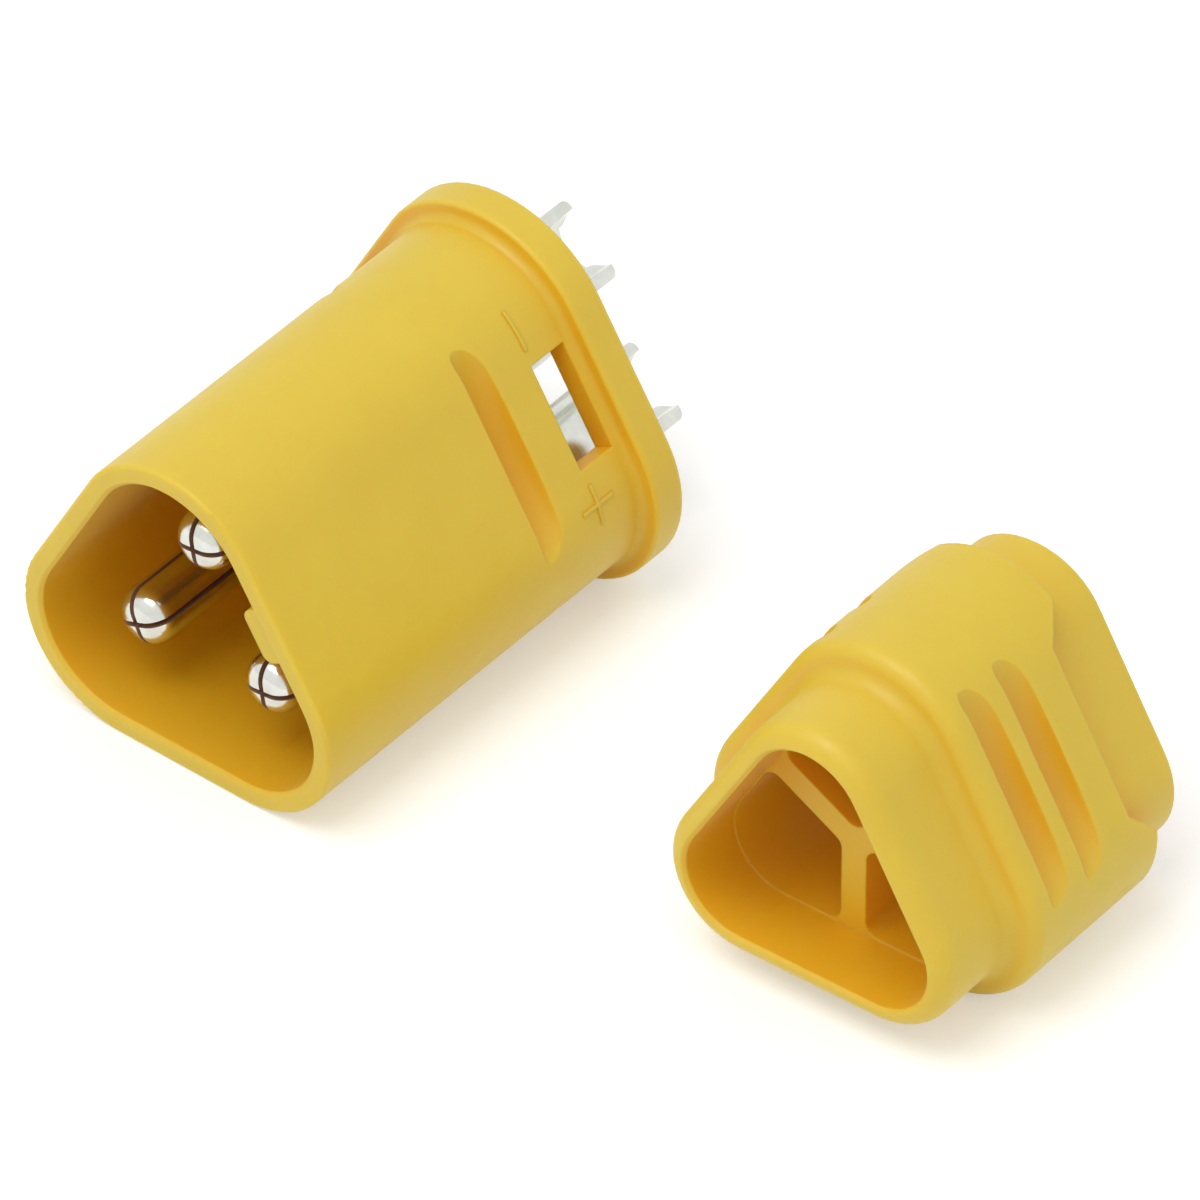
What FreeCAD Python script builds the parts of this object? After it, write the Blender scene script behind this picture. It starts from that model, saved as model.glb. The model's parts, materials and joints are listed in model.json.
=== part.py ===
import FreeCAD, Part
import math
import os

from FreeCAD import Vector

# Three-pin connector with its tail cover taken off and lying beside it.
# Both mouldings are rounded triangles drawn around the three pin centres.
# Each is built with its axis along +Y from its mouth at y = 0 and its apex up,
# and then laid down on the ground at z = 0. Lengths are millimetres.

# Layout of the three contacts
PIN_PITCH = 5.1
PIN_PLACES_DEG = {"top": 90, "left": 210, "right": 330}
SIDE_NORMALS_DEG = (30, 150, 270)
KEYED_SIDE_DEG = 30

# Outline and walls of the housing
CORNER_R = 3.65
SHROUD_WALL = 0.71
SHROUD_DEPTH = 9.3
WEB_T = 3.2
RECESS_DEPTH = 3.6
FLANGE_T = 1.3
FLANGE_PROUD = 0.63
FLANGE_FILLET = 0.3
RESTING_EDGE_R = 0.13
FLANGE_BACK_R = 0.2
RIM_BEVEL = 0.12

# Key rib in the mouth, on the side that carries the polarity marks
KEY_W = 1.9
KEY_H = 0.65
KEY_R = 0.35

# Cross windows beside the flange and scooped grip grooves, on every side
WINDOW_W = 3.75
WINDOW_L = 1.5
WINDOW_TO_FLANGE = 0.34
GROOVE_W = 1.12
GROOVE_DEPTH = 0.8
GROOVE_FRONT_R = 0.25
GROOVE_SWEEP_R = 12.5
GROOVE_TO_FLANGE = 3.33

# Raised polarity marks
MARK_SIZE = 1.4
MARK_STROKE = 0.14
MARK_H = 0.05
MARK_TO_FLANGE = 1.77
MARK_OFFSET = 3.1

# Contacts: slit bullet pin, root and collar held in the web, solder cup
PIN_R = 1.0
PIN_RECESS = 1.1
NOSE_ROUND = 0.7
SLIT_W = 0.18
SLIT_TO_WEB = 1.2
SLIT_TURN_DEG = {"top": 7, "left": 21, "right": 7}
ROOT_R = 1.25
COLLAR_R = 1.65
COLLAR_L = 1.2
COLLAR_INSET = 1.0
CUP_R = 1.45
CUP_BORE_R = 1.05
CUP_FLOOR_TO_WEB = 0.8
CUP_REACH = 3.85
CUP_MOUTH_L = 2.2
CUP_MOUTH_R = 0.5
CUP_NOTCH_W = 1.5
CUP_NOTCH_DEPTH = 0.33
CUP_TIP_R = 0.28
CUP_OPENS_DEG = {"top": 46, "left": 210, "right": 46}
INSERT_GAP = 0.02

# Tail cover: its neck plugs into the recess behind the housing's web
NECK_INSET = 0.92
NECK_WALL = 0.75
NECK_L = 2.8
NECK_RAMP = 1.1
NECK_EDGE_R = 0.68
NECK_CLEARANCE = 0.1
COVER_SIDE_L = 4.55
EAR_L = 1.25
EAR_GAP_W = 5.9
REAR_INSET = 0.83
REAR_L = 2.0
REAR_BEVEL = 0.15
CORE_STEP = 0.05
DIVIDER_T = 0.92
DIVIDER_DEPTH = 2.5
DIVIDER_END_INSET = 0.3
BAY_CORNER_R = 0.45
COVER_GROOVE_TO_RAMP = 0.35
COVER_GROOVE_PITCH = 1.73
COVER_GROOVES = 2

# Where the cover lies, measured from the middle of the housing's mouth
COVER_ASIDE = 21.992
COVER_AHEAD = 3.61
COVER_TURN_DEG = 2.74

# Worked out from the sizes above
ORIGIN = Vector(0, 0, 0)
AXIS = Vector(0, 1, 0)
CENTRE_R = PIN_PITCH / 2 / math.sin(math.pi / len(PIN_PLACES_DEG))
SIDE_R = CENTRE_R / 2
FACE_R = SIDE_R + CORNER_R
HOUSING_L = SHROUD_DEPTH + WEB_T + RECESS_DEPTH
WEB_BACK = SHROUD_DEPTH + WEB_T
FLANGE_FRONT = HOUSING_L - FLANGE_T
CAVITY_R = CORNER_R - SHROUD_WALL
NECK_R = CORNER_R - NECK_INSET
RECESS_R = NECK_R + NECK_CLEARANCE
REAR_R = CORNER_R - REAR_INSET
COVER_BODY_START = NECK_L + NECK_RAMP
COVER_SIDE_END = COVER_BODY_START + COVER_SIDE_L
EARS_END = COVER_SIDE_END + EAR_L
COVER_L = EARS_END + REAR_L
OVERCUT = 1.0
FULL_TURN_DEG = 360
SIDE_TURN_DEG = FULL_TURN_DEG / len(SIDE_NORMALS_DEG)


def point(r, y):
    """A point of a profile: r outward, y along the axis."""
    return Vector(r, y, 0)


def arc(start, middle, end):
    return Part.Arc(start, middle, end).toShape()


def corner(start, centre, end):
    """Quarter round from start to end about centre."""
    out = (start + end) / 2 - centre
    middle = centre + out * ((start - centre).Length / out.Length)
    return arc(start, middle, end)


def ramp(start, end):
    """Two equal arcs that leave start and reach end along the axis."""
    middle = (start + end) / 2
    run = end.y - start.y
    rise = end.x - start.x
    turn = 2 * math.atan2(abs(rise), run)
    radius = run / (2 * math.sin(turn))
    half_sine = radius * math.sin(turn / 2)
    sag = math.copysign(radius - radius * math.cos(turn / 2), rise)
    first = arc(start, point(start.x + sag, start.y + half_sine), middle)
    last = arc(middle, point(end.x - sag, end.y - half_sine), end)
    return [first, last]


def closed(pieces):
    """A closed profile wire from arcs and from points to be joined by lines."""
    edges = []
    last = None
    for piece in pieces + [pieces[0]]:
        here = piece if isinstance(piece, Vector) else piece.Vertexes[0].Point
        if last is not None and (here - last).Length > Part.Precision.confusion():
            edges.append(Part.makeLine(last, here))
        if isinstance(piece, Vector):
            last = piece
        else:
            edges.append(piece)
            last = piece.Vertexes[-1].Point
    return Part.Wire(edges)


def to_side(shape, side_deg):
    """Turns a shape that faces +X to face the side with this outward normal."""
    turned = shape.copy()
    turned.rotate(ORIGIN, AXIS, -side_deg)
    return turned


def outward(distance, direction_deg):
    """The point at this distance from the axis in this direction."""
    return FreeCAD.Rotation(AXIS, -direction_deg).multVec(Vector(distance, 0, 0))


def triangle_solid(profile):
    """Carries a profile round the triangle of the pin centres.

    The profile's r is measured outward from that triangle, so that each radius
    gives a rounded triangle with its corners centred on the pins.
    """
    side = SIDE_NORMALS_DEG[0]
    pins = [outward(CENTRE_R, place) for place in PIN_PLACES_DEG.values()]
    face = to_side(Part.Face(profile), side)
    face.translate(pins[0])
    wedge = face.revolve(pins[0], AXIS, -SIDE_TURN_DEG)
    slab = face.extrude(pins[-1] - pins[0])
    ys = [vertex.Point.y for vertex in profile.Vertexes]
    core = Part.Face(Part.makePolygon(pins + pins[:1])).extrude(AXIS * (max(ys) - min(ys)))
    core.translate(AXIS * min(ys))
    parts = []
    for normal in SIDE_NORMALS_DEG:
        parts.append(to_side(wedge, normal - side))
        parts.append(to_side(slab, normal - side))
    return core.multiFuse(parts).removeSplitter()


def round_bar(profile):
    return Part.Face(profile).revolve(ORIGIN, AXIS, FULL_TURN_DEG)


def straight_prism(radius, start, end):
    return triangle_solid(closed([point(0, start), point(radius, start), point(radius, end), point(0, end)]))


def mouth_cavity(radius, depth):
    """Inside of a rounded-triangle tube from its mouth at y = 0, with a bevelled rim."""
    return triangle_solid(closed([
        point(0, -OVERCUT),
        point(radius + RIM_BEVEL + OVERCUT, -OVERCUT),
        point(radius, RIM_BEVEL),
        point(radius, depth),
        point(0, depth),
    ]))


def groove_cutter(start):
    """Scoop across the side that faces +X: steep in front, easing out behind.

    It is swept round a far centre, so that its floor rises to the surface at both ends.
    """
    floor_r = FACE_R - GROOVE_DEPTH
    front = GROOVE_FRONT_R
    run = GROOVE_W - front
    back_r = (run ** 2 + GROOVE_DEPTH ** 2) / (2 * GROOVE_DEPTH)
    turn = math.atan2(run, back_r - GROOVE_DEPTH) / 2
    lowest = point(floor_r, start + front)
    midway = point(floor_r + back_r * (1 - math.cos(turn)), start + front + back_r * math.sin(turn))
    scoop = Part.Face(closed([
        point(FACE_R + OVERCUT, start),
        corner(point(floor_r + front, start), point(floor_r + front, start + front), lowest),
        arc(lowest, midway, point(FACE_R, start + GROOVE_W)),
        point(FACE_R + OVERCUT, start + GROOVE_W),
    ]))
    centre = Vector(floor_r + GROOVE_SWEEP_R, 0, 0)
    half_turn = math.degrees(math.asin((PIN_PITCH / 2 + CORNER_R) / GROOVE_SWEEP_R))
    scoop.rotate(centre, AXIS, -half_turn)
    return scoop.revolve(centre, AXIS, 2 * half_turn)


def side_box(inner_r, outer_r, start, end, width, offset=0.0):
    """A box on the side that faces +X, offset along that side."""
    corner_point = Vector(inner_r, start, -offset - width / 2)
    return Part.makeBox(outer_r - inner_r, end - start, width, corner_point)


def housing_outside():
    flange_r = CORNER_R + FLANGE_PROUD
    edge = RESTING_EDGE_R
    back = FLANGE_BACK_R
    fillet = FLANGE_FILLET
    profile = [
        point(0, 0),
        corner(point(CORNER_R - edge, 0), point(CORNER_R - edge, edge), point(CORNER_R, edge)),
        corner(
            point(CORNER_R, FLANGE_FRONT - fillet),
            point(CORNER_R + fillet, FLANGE_FRONT - fillet),
            point(CORNER_R + fillet, FLANGE_FRONT),
        ),
        corner(
            point(flange_r - edge, FLANGE_FRONT),
            point(flange_r - edge, FLANGE_FRONT + edge),
            point(flange_r, FLANGE_FRONT + edge),
        ),
        corner(
            point(flange_r, HOUSING_L - back),
            point(flange_r - back, HOUSING_L - back),
            point(flange_r - back, HOUSING_L),
        ),
        point(0, HOUSING_L),
    ]
    return triangle_solid(closed(profile))


def key_rib():
    """Rib along the keyed side of the mouth, rounded where it faces the pins."""
    wall_r = SIDE_R + CAVITY_R
    rib = side_box(wall_r - KEY_H, wall_r + SHROUD_WALL / 2, RIM_BEVEL, SHROUD_DEPTH + OVERCUT, KEY_W)
    inner = [edge for edge in rib.Edges if faces_pins(edge, wall_r - KEY_H)]
    return to_side(rib.makeFillet(KEY_R, inner), KEYED_SIDE_DEG)


def faces_pins(edge, inner_r):
    """True for the long edges of a side box that are nearest the axis."""
    ends = [vertex.Point for vertex in edge.Vertexes]
    on_inside = all(abs(end.x - inner_r) < Part.Precision.confusion() for end in ends)
    return on_inside and abs(ends[0].z - ends[1].z) < Part.Precision.confusion()


def polarity_marks():
    """A minus beside the top pin and a plus beside the right one, low on the curved surface."""
    inner = FACE_R - SHROUD_WALL
    outer = FACE_R + MARK_H
    middle = FLANGE_FRONT - MARK_TO_FLANGE
    half_stroke = MARK_STROKE / 2
    half_mark = MARK_SIZE / 2
    skin = straight_prism(CORNER_R + MARK_H, middle - half_mark - OVERCUT, middle + half_mark + OVERCUT)
    bars = []
    for offset in (-MARK_OFFSET, MARK_OFFSET):
        bars.append(side_box(inner, outer, middle - half_stroke, middle + half_stroke, MARK_SIZE, offset))
    bars.append(side_box(inner, outer, middle - half_mark, middle + half_mark, MARK_STROKE, MARK_OFFSET))
    return [to_side(bar, KEYED_SIDE_DEG).common(skin) for bar in bars]


def housing():
    body = housing_outside()
    body = body.cut(mouth_cavity(CAVITY_R, SHROUD_DEPTH))
    body = body.cut(straight_prism(RECESS_R, WEB_BACK, HOUSING_L + OVERCUT))
    window_end = FLANGE_FRONT - WINDOW_TO_FLANGE
    window_in = SIDE_R + min(CAVITY_R, RECESS_R) - OVERCUT
    window = side_box(window_in, FACE_R + OVERCUT, window_end - WINDOW_L, window_end, WINDOW_W)
    groove = groove_cutter(FLANGE_FRONT - GROOVE_TO_FLANGE - GROOVE_W)
    for side in SIDE_NORMALS_DEG:
        body = body.cut([to_side(window, side), to_side(groove, side)])
    body = body.fuse([key_rib()] + polarity_marks())
    for place in PIN_PLACES_DEG:
        body = body.cut(at_pin(contact_seat(), place))
    return body.removeSplitter()


def contact_seat():
    """The space that a contact fills in the web, with its assembly gap."""
    root = ROOT_R + INSERT_GAP
    collar = COLLAR_R + INSERT_GAP
    cup = CUP_R + INSERT_GAP
    collar_front = SHROUD_DEPTH + COLLAR_INSET
    collar_back = collar_front + COLLAR_L
    return round_bar(closed([
        point(0, SHROUD_DEPTH - OVERCUT),
        point(root, SHROUD_DEPTH - OVERCUT),
        point(root, collar_front),
        point(collar, collar_front),
        point(collar, collar_back),
        point(cup, collar_back),
        point(cup, WEB_BACK + OVERCUT),
        point(0, WEB_BACK + OVERCUT),
    ]))


def at_pin(shape, place):
    """Moves a shape from the axis to the centre of this pin."""
    moved = shape.copy()
    moved.translate(outward(CENTRE_R, PIN_PLACES_DEG[place]))
    return moved


def contact(place):
    """Bullet pin, root, collar and solder cup, turned and slit from one bar."""
    slit_turn_deg = SLIT_TURN_DEG[place]
    collar_front = SHROUD_DEPTH + COLLAR_INSET
    collar_back = collar_front + COLLAR_L
    cup_end = HOUSING_L + CUP_REACH
    nose = corner(
        point(PIN_R - NOSE_ROUND, PIN_RECESS),
        point(PIN_R - NOSE_ROUND, PIN_RECESS + NOSE_ROUND),
        point(PIN_R, PIN_RECESS + NOSE_ROUND),
    )
    body = round_bar(closed([
        point(0, PIN_RECESS),
        nose,
        point(PIN_R, SHROUD_DEPTH),
        point(ROOT_R, SHROUD_DEPTH),
        point(ROOT_R, collar_front),
        point(COLLAR_R, collar_front),
        point(COLLAR_R, collar_back),
        point(CUP_R, collar_back),
        point(CUP_R, cup_end),
        point(0, cup_end),
    ]))
    cup_floor = WEB_BACK + CUP_FLOOR_TO_WEB
    bore = Part.makeCylinder(CUP_BORE_R, cup_end - cup_floor + OVERCUT, Vector(0, cup_floor, 0), AXIS)
    opening = [to_side(cutter, CUP_OPENS_DEG[place]) for cutter in cup_mouth_cutters(cup_end)]
    body = body.cut([bore] + opening)
    slit = Part.makeBox(
        2 * (PIN_R + OVERCUT),
        SHROUD_DEPTH - SLIT_TO_WEB - PIN_RECESS + OVERCUT,
        SLIT_W,
        Vector(-PIN_R - OVERCUT, PIN_RECESS - OVERCUT, -SLIT_W / 2),
    )
    across = FULL_TURN_DEG / 4
    body = body.cut([to_side(slit, slit_turn_deg), to_side(slit, slit_turn_deg + across)])
    return at_pin(body, place)


def cup_mouth_cutters(cup_end):
    """Opens the cup towards +X over its end, and rounds what stands into two prongs."""
    start = cup_end - CUP_MOUTH_L
    outside = CUP_R + OVERCUT
    trough = Part.Face(closed([
        point(outside, start),
        corner(
            point(CUP_MOUTH_R, start),
            point(CUP_MOUTH_R, start + CUP_MOUTH_R),
            point(0, start + CUP_MOUTH_R),
        ),
        point(0, cup_end + OVERCUT),
        point(outside, cup_end + OVERCUT),
    ])).extrude(Vector(0, 0, 2 * outside))
    trough.translate(Vector(0, 0, -outside))

    notch = CUP_NOTCH_W / 2
    shoulder = cup_end - CUP_TIP_R
    floor = cup_end - CUP_NOTCH_DEPTH
    inside_tip = notch + CUP_TIP_R
    outside_tip = CUP_R - CUP_TIP_R
    ends = closed([
        Vector(0, shoulder, outside),
        corner(Vector(0, shoulder, CUP_R), Vector(0, shoulder, outside_tip), Vector(0, cup_end, outside_tip)),
        corner(Vector(0, cup_end, inside_tip), Vector(0, shoulder, inside_tip), Vector(0, shoulder, notch)),
        Vector(0, floor, notch),
        Vector(0, floor, -notch),
        corner(Vector(0, shoulder, -notch), Vector(0, shoulder, -inside_tip), Vector(0, cup_end, -inside_tip)),
        corner(Vector(0, cup_end, -outside_tip), Vector(0, shoulder, -outside_tip), Vector(0, shoulder, -CUP_R)),
        Vector(0, shoulder, -outside),
        Vector(0, cup_end + OVERCUT, -outside),
        Vector(0, cup_end + OVERCUT, outside),
    ])
    tips = Part.Face(ends).extrude(Vector(2 * outside, 0, 0))
    tips.translate(Vector(-outside, 0, 0))
    return [trough, tips]


def cover_outside():
    """Neck, shoulder, body with an ear round each corner, and narrower rear end."""
    edge = NECK_EDGE_R
    profile = [
        point(0, 0),
        corner(point(NECK_R - edge, 0), point(NECK_R - edge, edge), point(NECK_R, edge)),
    ]
    profile += ramp(point(NECK_R, NECK_L), point(CORNER_R, COVER_BODY_START))
    profile += [
        point(CORNER_R, EARS_END - REAR_BEVEL),
        point(CORNER_R - REAR_BEVEL, EARS_END),
        point(REAR_R, EARS_END),
        point(REAR_R, COVER_L - REAR_BEVEL),
        point(REAR_R - REAR_BEVEL, COVER_L),
        point(0, COVER_L),
    ]
    rear = straight_prism(REAR_R, COVER_SIDE_END - OVERCUT, COVER_L)
    gaps = [to_side(ear_gap(), side).cut(rear) for side in SIDE_NORMALS_DEG]
    return triangle_solid(closed(profile)).cut(gaps)


def ear_gap():
    """What the body lacks behind its side that faces +X, between two ears."""
    half = EAR_GAP_W / 2
    reach = EAR_L + OVERCUT
    corners = [
        Vector(SIDE_R, COVER_SIDE_END, -half),
        Vector(SIDE_R, COVER_SIDE_END, half),
        Vector(SIDE_R, COVER_SIDE_END + reach, half + reach),
        Vector(SIDE_R, COVER_SIDE_END + reach, -half - reach),
    ]
    outline = Part.makePolygon(corners + corners[:1])
    return Part.Face(outline).extrude(Vector(CORNER_R + OVERCUT, 0, 0))


def wire_bays(inner_r):
    """The three bays for the wires, kept apart by the three-armed divider."""
    room = straight_prism(inner_r, DIVIDER_DEPTH, COVER_L - DIVIDER_END_INSET)
    arm = side_box(0, FACE_R, DIVIDER_DEPTH, COVER_L, DIVIDER_T)
    bays = room.cut([to_side(arm, side) for side in SIDE_NORMALS_DEG])
    corner_r = min(BAY_CORNER_R, (SIDE_R + inner_r) / 4)
    return [bay.makeFillet(corner_r, [edge for edge in bay.Edges if meets_divider(edge)]) for bay in bays.Solids]


def meets_divider(edge):
    """True for the edges along the axis where a bay's walls meet the divider's arms."""
    ends = [vertex.Point for vertex in edge.Vertexes]
    if len(ends) < 2 or abs((ends[1] - ends[0]).y) < (ends[1] - ends[0]).Length - Part.Precision.confusion():
        return False
    for side in SIDE_NORMALS_DEG:
        place = to_side(Part.Vertex(ends[0]), -side).Point
        if place.x > 0 and abs(abs(place.z) - DIVIDER_T / 2) < Part.Precision.confusion():
            return True
    return False


def tail_cover():
    inner_r = NECK_R - NECK_WALL
    core_r = inner_r - CORE_STEP
    body = cover_outside()
    body = body.cut(mouth_cavity(inner_r, DIVIDER_DEPTH))
    body = body.cut(wire_bays(core_r))
    body = body.cut(straight_prism(core_r, COVER_L - DIVIDER_END_INSET, COVER_L + OVERCUT))
    for k in range(COVER_GROOVES):
        groove = groove_cutter(COVER_BODY_START + COVER_GROOVE_TO_RAMP + k * COVER_GROOVE_PITCH)
        body = body.cut([to_side(groove, side) for side in SIDE_NORMALS_DEG])
    return body.removeSplitter()


def laid_housing(shape):
    """Rests on the bottom edges of the flange and of the mouth."""
    tilt = math.atan2(FLANGE_PROUD, FLANGE_FRONT)
    bottom = FACE_R - RESTING_EDGE_R
    lift = bottom * math.cos(tilt) - RESTING_EDGE_R * math.sin(tilt) + RESTING_EDGE_R
    laid = shape.copy()
    laid.rotate(ORIGIN, Vector(1, 0, 0), math.degrees(tilt))
    laid.translate(Vector(0, 0, lift))
    return laid


def laid_cover(shape):
    """Rests on the bottom side of its body, beside the housing."""
    laid = shape.copy()
    laid.rotate(ORIGIN, Vector(0, 0, 1), COVER_TURN_DEG)
    laid.translate(Vector(COVER_ASIDE, COVER_AHEAD, FACE_R))
    return laid


def build():
    nodes = {"housing": laid_housing(housing())}
    for place in PIN_PLACES_DEG:
        nodes["contact_" + place] = laid_housing(contact(place))
    nodes["tail_cover"] = laid_cover(tail_cover())
    box = Part.makeCompound(list(nodes.values())).optimalBoundingBox(False)
    to_origin = Vector(-box.Center.x, -box.Center.y, 0)
    os.makedirs("parts", exist_ok=True)
    for name, shape in nodes.items():
        shape.translate(to_origin)
        solid = shape.Solids[0]
        print(name, len(shape.Solids), solid.isValid(), round(solid.Volume, 3), len(solid.Faces))
        solid.exportStep("parts/" + name + ".step")
    print("box", round(box.XLength, 3), round(box.YLength, 3), round(box.ZMin, 4), round(box.ZLength, 3))
    print("housing mouth at", round(to_origin.x, 4), round(to_origin.y, 4))


build()
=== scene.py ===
import json
import math

import bpy
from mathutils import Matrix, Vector

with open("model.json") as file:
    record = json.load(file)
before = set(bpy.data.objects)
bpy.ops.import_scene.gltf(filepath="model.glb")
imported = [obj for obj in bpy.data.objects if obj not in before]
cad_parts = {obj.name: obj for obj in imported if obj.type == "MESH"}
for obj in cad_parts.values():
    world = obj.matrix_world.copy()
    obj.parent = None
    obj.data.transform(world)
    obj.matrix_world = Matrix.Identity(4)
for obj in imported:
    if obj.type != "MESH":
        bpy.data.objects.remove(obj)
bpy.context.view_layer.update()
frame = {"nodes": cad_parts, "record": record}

MM = 0.001

# Camera, in the frame of the part: it looks down at a point on the ground
VIEW_YAW_DEG = 40.148
VIEW_DOWN_DEG = 39.499
VIEW_DISTANCE = 553.25 * MM
VIEW_TARGET = Vector((-5.92, 4.766, 0)) * MM
SENSOR_W = 36.0
FOCAL_LENGTH = 534.88
CLIP_NEAR = 0.01
CLIP_FAR = 20.0

# Screen colours of the nylon: two that the flow mixes, one in clouds, and a painted shade for hollows,
# a deeper orange standing in for light bounced inside them
NYLON_PLAIN = (231, 201, 48)
NYLON_FLOW = (235, 206, 56)
NYLON_CLOUDS = (227, 194, 44)
NYLON_HOLLOW_PAINTED_SHADE = (239, 183, 8)

# Screen colours of the plating: bright, hazy, and a painted shade and reflection for inside a slit
PLATING_BRIGHT = (226, 227, 220)
PLATING_HAZE = (210, 212, 202)
PLATING_SLIT_PAINTED_SHADE = (176, 104, 48)

# How each pattern is drawn out along x, y and z
HOUSING_FLOW_STRETCH = (1.0, 0.25, 1.0)
COVER_FLOW_STRETCH = (1.0, 0.35, 1.0)
TURNING_STRETCH = (0.15, 14.0, 0.15)

# How far a moulded edge is softened
EDGE_SOFTNESS = 0.1 * MM

# How far off a wall the painted shade of the hollows still reaches, and the openness where that
# painted shade is full or gone
HOLLOW_SHADE_REACH = 14.0 * MM
HOLLOW_SHADE_CLOSED = 0.45
HOLLOW_SHADE_OPEN = 0.85

# The same for how near a second wall brings the painted shade and reflection onto the plating, as in a
# slit
SLIT_SHADE_REACH = 0.35 * MM
SLIT_SHADE_CLOSED = 0.35
SLIT_SHADE_OPEN = 0.6

# The floor's own shade, and what it adds to that where it is seen, to read as white
FLOOR_SIZE = 4.0
FLOOR_SHADE = 0.9
FLOOR_GLOW = 0.35

# Light that the surroundings give, beside their white look
WORLD_LOOK = 1.0
WORLD_FILL = 0.6
WHITE = (1.0, 1.0, 1.0, 1.0)

# One large square lamp from above
KEY_PLACE = Vector((-10, -110, 280)) * MM
KEY_AIM = Vector((0, 0, 4)) * MM
KEY_SIZE = 180 * MM
KEY_POWER = 0.34

# Curve from screen values to light
SCREEN_MAX = 255
CURVE_TOE = 0.04045
CURVE_TOE_SLOPE = 12.92
CURVE_OFFSET = 0.055
CURVE_POWER = 2.4

# Places of the colour mix node's sockets
MIX_FACTOR, MIX_FIRST, MIX_SECOND, MIX_RESULT = 0, 6, 7, 2


def linear(rgb):
    """An 8-bit screen colour as linear RGBA."""
    out = []
    for value in rgb:
        c = value / SCREEN_MAX
        if c <= CURVE_TOE:
            out.append(c / CURVE_TOE_SLOPE)
        else:
            out.append(((c + CURVE_OFFSET) / (1 + CURVE_OFFSET)) ** CURVE_POWER)
    return (*out, 1.0)


class Nodes:
    """Short hand for building a material's nodes."""

    def __init__(self, name):
        self.material = bpy.data.materials.new(name)
        self.material.use_nodes = True
        self.tree = self.material.node_tree
        self.tree.nodes.clear()
        self.output = self.add("ShaderNodeOutputMaterial")
        self.shader = self.add("ShaderNodeBsdfPrincipled")
        self.link(self.shader.outputs["BSDF"], self.output.inputs["Surface"])
        self.place = self.add("ShaderNodeTexCoord").outputs["Object"]

    def add(self, kind, **values):
        node = self.tree.nodes.new(kind)
        for key, value in values.items():
            setattr(node, key, value)
        return node

    def link(self, source, target):
        self.tree.links.new(source, target)

    def feed(self, socket, value):
        """Gives a socket a link or a plain value."""
        if isinstance(value, bpy.types.NodeSocket):
            self.link(value, socket)
        else:
            socket.default_value = value

    def noise(self, per_mm, detail, roughness=0.5, stretch=None):
        """Noise with about this many features to a millimetre."""
        source = self.place
        if stretch:
            mapping = self.add("ShaderNodeMapping")
            mapping.inputs["Scale"].default_value = stretch
            self.link(source, mapping.inputs["Vector"])
            source = mapping.outputs["Vector"]
        node = self.add("ShaderNodeTexNoise")
        node.inputs["Scale"].default_value = per_mm / MM
        node.inputs["Detail"].default_value = detail
        node.inputs["Roughness"].default_value = roughness
        self.link(source, node.inputs["Vector"])
        return node.outputs["Fac"]

    def span(self, source, low=0.0, high=1.0, from_low=0.3, from_high=0.7):
        """A range of the source spread over a range of its own."""
        node = self.add("ShaderNodeMapRange")
        node.inputs["From Min"].default_value = from_low
        node.inputs["From Max"].default_value = from_high
        node.inputs["To Min"].default_value = low
        node.inputs["To Max"].default_value = high
        self.link(source, node.inputs["Value"])
        return node.outputs["Result"]

    def mix(self, factor, first, second):
        """Two colours mixed."""
        node = self.add("ShaderNodeMix", data_type="RGBA")
        self.feed(node.inputs[MIX_FACTOR], factor)
        self.feed(node.inputs[MIX_FIRST], first)
        self.feed(node.inputs[MIX_SECOND], second)
        return node.outputs[MIX_RESULT]

    def openness(self, reach, closed, open_):
        """0 where the piece's own walls stand close around a place, and 1 where they don't."""
        node = self.add("ShaderNodeAmbientOcclusion", samples=2, only_local=True)
        node.inputs["Distance"].default_value = reach
        return self.span(node.outputs["AO"], from_low=closed, from_high=open_)

    def bump(self, source, depth_mm, strength, before=None):
        """A normal that the source raises, over an earlier normal if there is one."""
        node = self.add("ShaderNodeBump")
        node.inputs["Distance"].default_value = depth_mm * MM
        node.inputs["Strength"].default_value = strength
        self.link(source, node.inputs["Height"])
        if before:
            self.link(before, node.inputs["Normal"])
        return node.outputs["Normal"]

    def set(self, **values):
        for key, value in values.items():
            self.feed(self.shader.inputs[key.replace("_", " ")], value)


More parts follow.
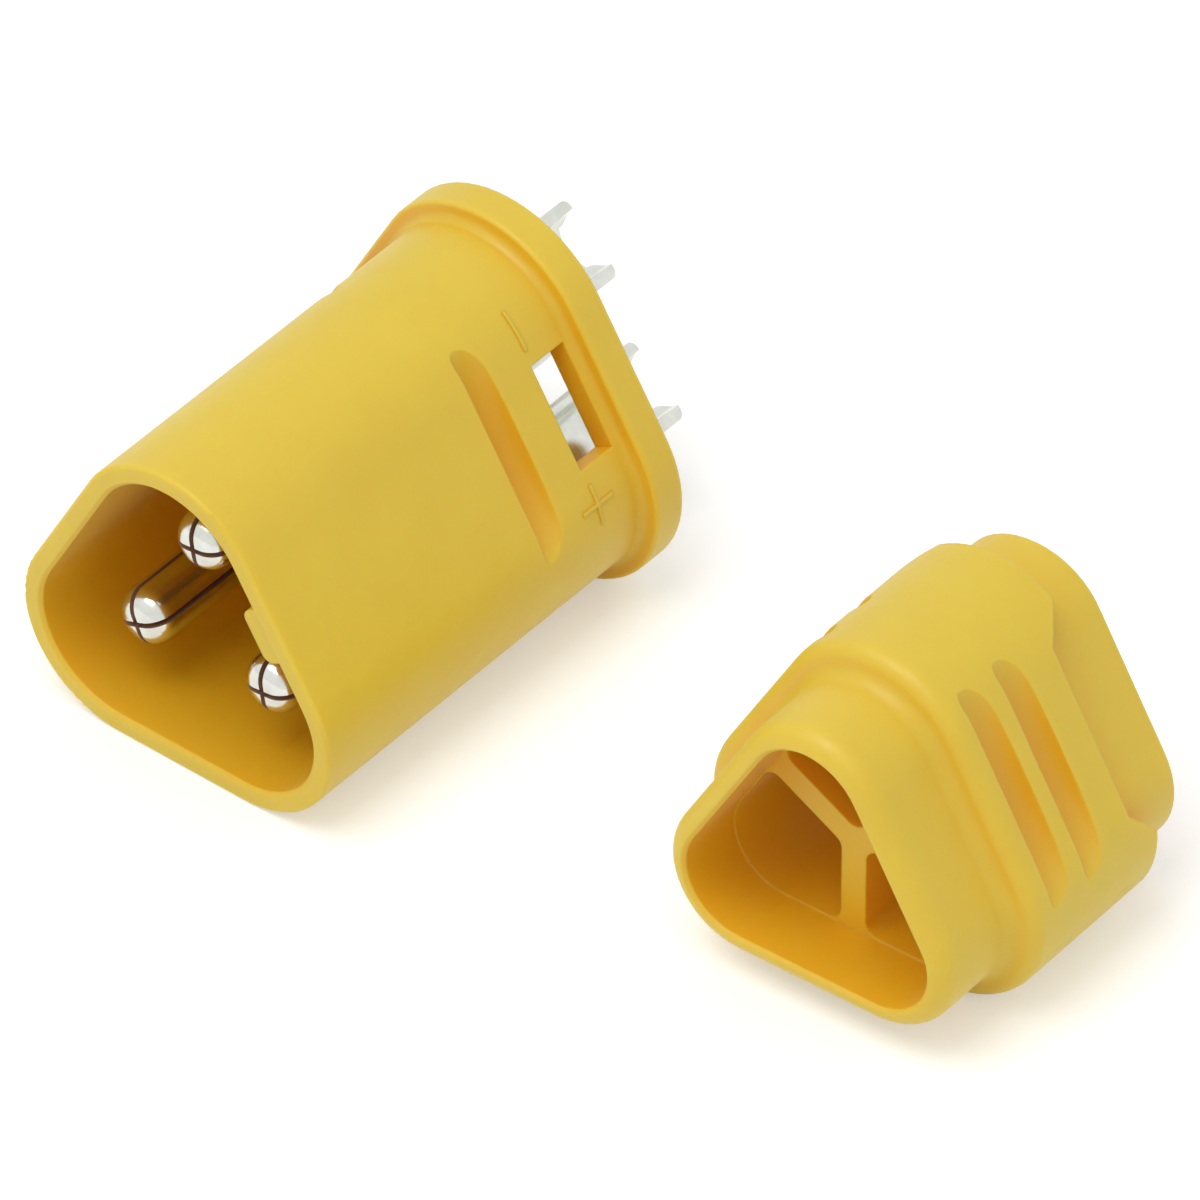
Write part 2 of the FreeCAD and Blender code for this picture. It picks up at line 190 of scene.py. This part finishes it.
def nylon(name, flow_stretch):
    """Golden-yellow moulded nylon: slightly translucent, finely matt, with faint flow and scuffs."""
    n = Nodes(name)
    flow = n.noise(per_mm=0.16, detail=2.0, stretch=flow_stretch)
    clouds = n.noise(per_mm=0.5, detail=3.0, roughness=0.6)
    colour = n.mix(n.span(flow), linear(NYLON_PLAIN), linear(NYLON_FLOW))
    colour = n.mix(n.span(clouds, high=0.35), colour, linear(NYLON_CLOUDS))
    # Painted shade: where the piece's own walls close around a place, the colour turns a deeper
    # orange, standing in for light bounced inside the hollows
    unshaded_place = n.openness(HOLLOW_SHADE_REACH, HOLLOW_SHADE_CLOSED, HOLLOW_SHADE_OPEN)
    colour = n.mix(unshaded_place, linear(NYLON_HOLLOW_PAINTED_SHADE), colour)
    grain = n.noise(per_mm=9.0, detail=2.0, roughness=0.6)
    soft = n.noise(per_mm=1.1, detail=2.0)
    scuffs = n.noise(per_mm=2.6, detail=3.0, roughness=0.7)
    edges = n.add("ShaderNodeBevel", samples=3)
    edges.inputs["Radius"].default_value = EDGE_SOFTNESS
    normal = n.bump(soft, depth_mm=0.02, strength=0.3, before=edges.outputs["Normal"])
    normal = n.bump(grain, depth_mm=0.005, strength=0.5, before=normal)
    n.set(
        Base_Color=colour,
        Roughness=n.span(scuffs, low=0.42, high=0.55),
        IOR=1.53,
        Specular_IOR_Level=0.65,
        Sheen_Weight=0.12,
        Sheen_Roughness=0.35,
        Subsurface_Weight=0.7,
        Subsurface_Radius=(1.0, 0.55, 0.12),
        Subsurface_Scale=0.5 * MM,
        Normal=normal,
    )
    return n.material


def plating(name):
    """Bright silver-coloured plating over turned metal, with fine turning marks, and painted shade and
    reflection in the slits.
    """
    n = Nodes(name)
    turning = n.noise(per_mm=0.9, detail=2.0, stretch=TURNING_STRETCH)
    haze = n.noise(per_mm=1.4, detail=4.0, roughness=0.6)
    colour = n.mix(n.span(haze), linear(PLATING_BRIGHT), linear(PLATING_HAZE))
    # Painted shade and reflection: in slits the plating turns brown and loses its metal look, standing
    # in for the dark and the nylon reflected there
    unshaded_plating = n.openness(SLIT_SHADE_REACH, SLIT_SHADE_CLOSED, SLIT_SHADE_OPEN)
    colour = n.mix(unshaded_plating, linear(PLATING_SLIT_PAINTED_SHADE), colour)
    n.set(
        Base_Color=colour,
        Metallic=unshaded_plating,
        Roughness=n.span(haze, low=0.13, high=0.24),
        Normal=n.bump(turning, depth_mm=0.003, strength=0.5),
    )
    return n.material


MATERIALS = {
    "housing_nylon": nylon("housing_nylon", HOUSING_FLOW_STRETCH),
    "cover_nylon": nylon("cover_nylon", COVER_FLOW_STRETCH),
    "contact_plating": plating("contact_plating"),
}

for part in frame["record"]["subparts"]:
    node = frame["nodes"][part["node"]]
    material = MATERIALS[part["material_slot"]]
    if not node.material_slots:
        node.data.materials.append(material)
    for slot in node.material_slots:
        slot.material = material


def where_seen(tree, level_seen, level_else):
    """A level for rays that show a surface in the picture or in a reflection, and one for the rest."""
    path = tree.nodes.new("ShaderNodeLightPath")
    seen = path.outputs["Is Camera Ray"]
    for ray in ("Is Glossy Ray", "Is Transmission Ray"):
        either = tree.nodes.new("ShaderNodeMath")
        either.operation = "MAXIMUM"
        first, second, _ = either.inputs
        tree.links.new(seen, first)
        tree.links.new(path.outputs[ray], second)
        seen = either.outputs["Value"]
    level = tree.nodes.new("ShaderNodeMapRange")
    level.inputs["To Min"].default_value = level_else
    level.inputs["To Max"].default_value = level_seen
    tree.links.new(seen, level.inputs["Value"])
    return level.outputs["Result"]


def floor():
    """Pale seamless floor that reads as white where it is seen and keeps the part's soft shadow."""
    bpy.ops.mesh.primitive_plane_add(size=FLOOR_SIZE)
    plane = bpy.context.object
    plane.name = "studio_floor"
    n = Nodes("studio_floor")
    shade = (FLOOR_SHADE, FLOOR_SHADE, FLOOR_SHADE, 1.0)
    n.set(Base_Color=shade, Roughness=0.9, Specular_IOR_Level=0.1)
    glow = n.add("ShaderNodeEmission")
    n.link(where_seen(n.tree, FLOOR_GLOW, 0.0), glow.inputs["Strength"])
    both = n.add("ShaderNodeAddShader")
    first, second = both.inputs
    n.link(n.shader.outputs["BSDF"], first)
    n.link(glow.outputs["Emission"], second)
    n.link(both.outputs["Shader"], n.output.inputs["Surface"])
    plane.data.materials.append(n.material)


def key_light():
    light = bpy.data.lights.new("key", "AREA")
    light.shape = "RECTANGLE"
    light.size = KEY_SIZE
    light.size_y = KEY_SIZE
    light.energy = KEY_POWER
    lamp = bpy.data.objects.new("key", light)
    bpy.context.collection.objects.link(lamp)
    lamp.location = KEY_PLACE
    lamp.rotation_euler = (KEY_AIM - KEY_PLACE).to_track_quat("-Z", "Y").to_euler()


def studio_world():
    world = bpy.data.worlds.new("studio")
    world.use_nodes = True
    tree = world.node_tree
    tree.nodes.clear()
    output = tree.nodes.new("ShaderNodeOutputWorld")
    surroundings = tree.nodes.new("ShaderNodeBackground")
    surroundings.inputs["Color"].default_value = WHITE
    tree.links.new(where_seen(tree, WORLD_LOOK, WORLD_FILL), surroundings.inputs["Strength"])
    tree.links.new(surroundings.outputs["Background"], output.inputs["Surface"])
    bpy.context.scene.world = world


def camera():
    yaw = math.radians(VIEW_YAW_DEG)
    down = math.radians(VIEW_DOWN_DEG)
    look = Vector((-math.sin(yaw) * math.cos(down), math.cos(yaw) * math.cos(down), -math.sin(down)))
    data = bpy.data.cameras.new("photo_view")
    data.sensor_width = SENSOR_W
    data.lens = FOCAL_LENGTH
    data.clip_start = CLIP_NEAR
    data.clip_end = CLIP_FAR
    view = bpy.data.objects.new("photo_view", data)
    bpy.context.collection.objects.link(view)
    view.location = VIEW_TARGET - look * VIEW_DISTANCE
    view.rotation_euler = look.to_track_quat("-Z", "Y").to_euler()
    bpy.context.scene.camera = view


floor()
studio_world()
camera()
key_light()

bpy.context.scene.view_settings.view_transform = "Standard"
